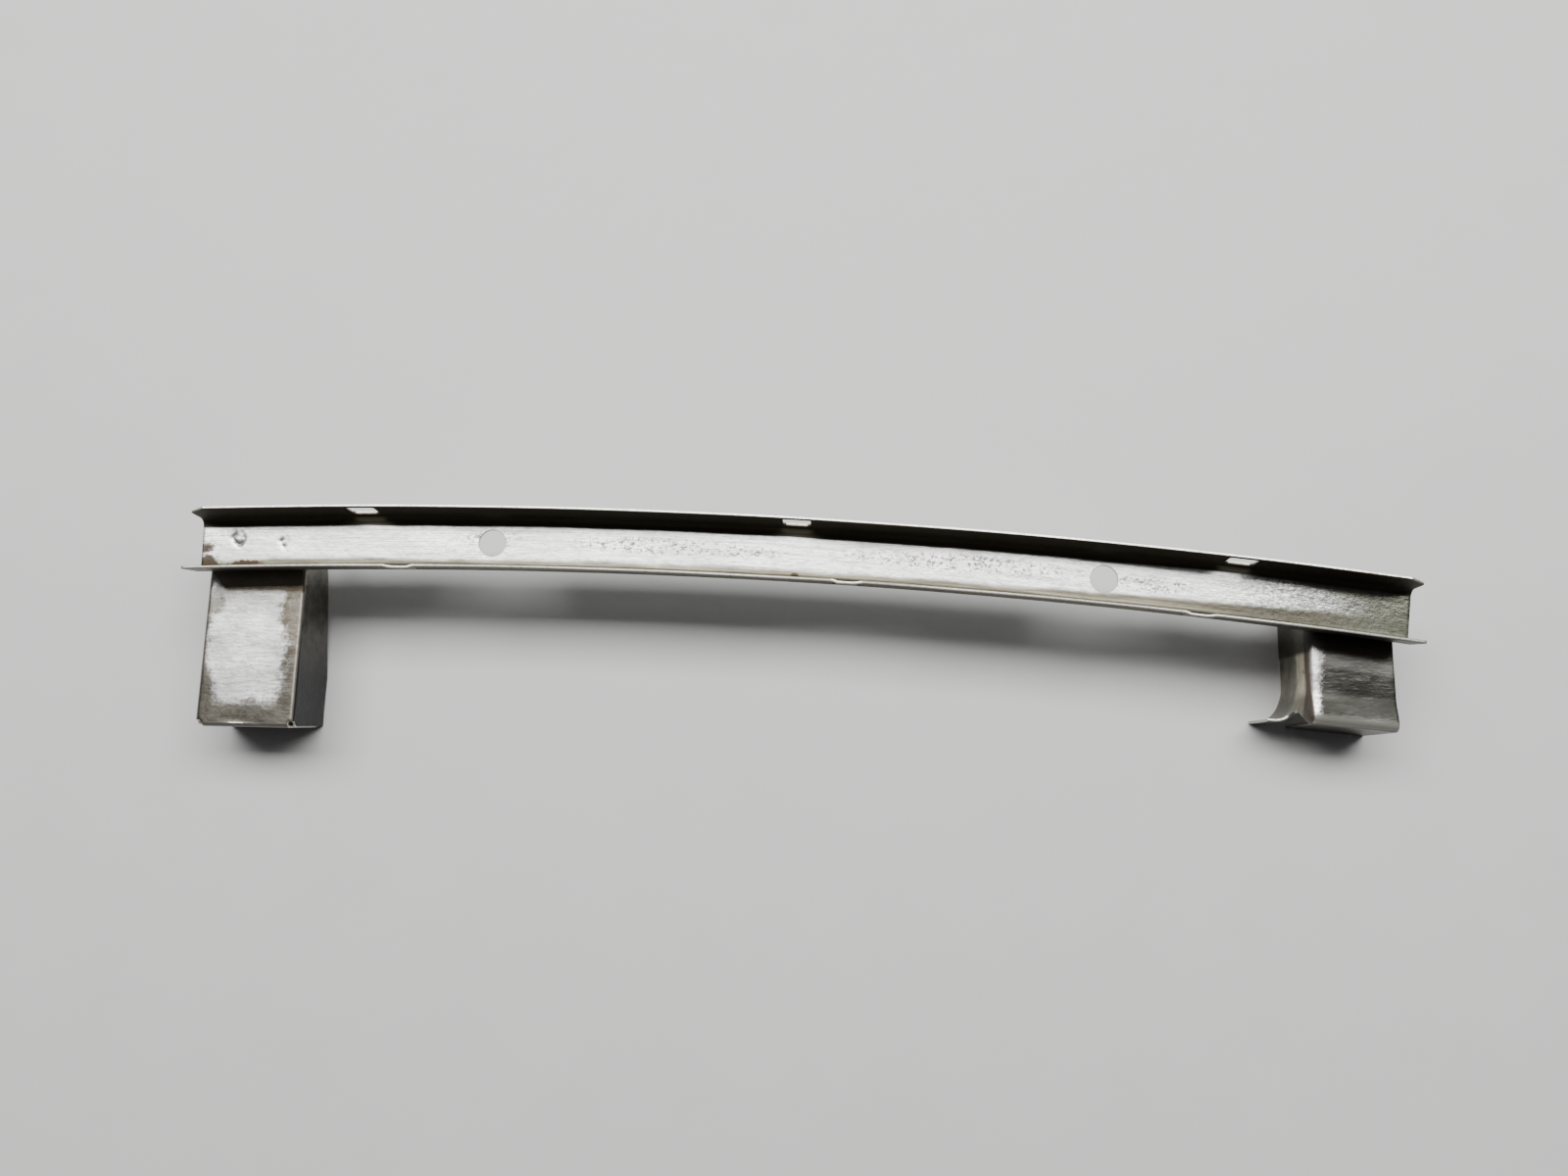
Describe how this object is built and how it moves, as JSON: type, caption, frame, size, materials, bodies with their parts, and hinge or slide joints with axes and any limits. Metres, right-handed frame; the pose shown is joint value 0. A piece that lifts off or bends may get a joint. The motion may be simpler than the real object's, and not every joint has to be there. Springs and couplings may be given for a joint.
{
  "type": "arched rail bracket",
  "caption": "Arched sheet-steel channel rail on a long and a short pressed leg, with screw holes and clip slots.",
  "frame": {"origin": "centre of the whole bracket's outline on the plane that the legs' back edges touch", "axes": "+X along the rail towards the short leg, +Y from the feet towards the rail, +Z out of the open front of the channel"},
  "size_m": [0.327, 0.0594, 0.0316],
  "materials": {
    "rail_steel": "satin, brushed and lightly stained",
    "left_leg_steel": "satin, mottled plating",
    "right_leg_steel": "glossier, warm tinted plating"
  },
  "bodies": {
    "root": {"rail": "rail_steel", "left_leg": "left_leg_steel", "right_leg": "right_leg_steel"}
  },
  "joints": []
}
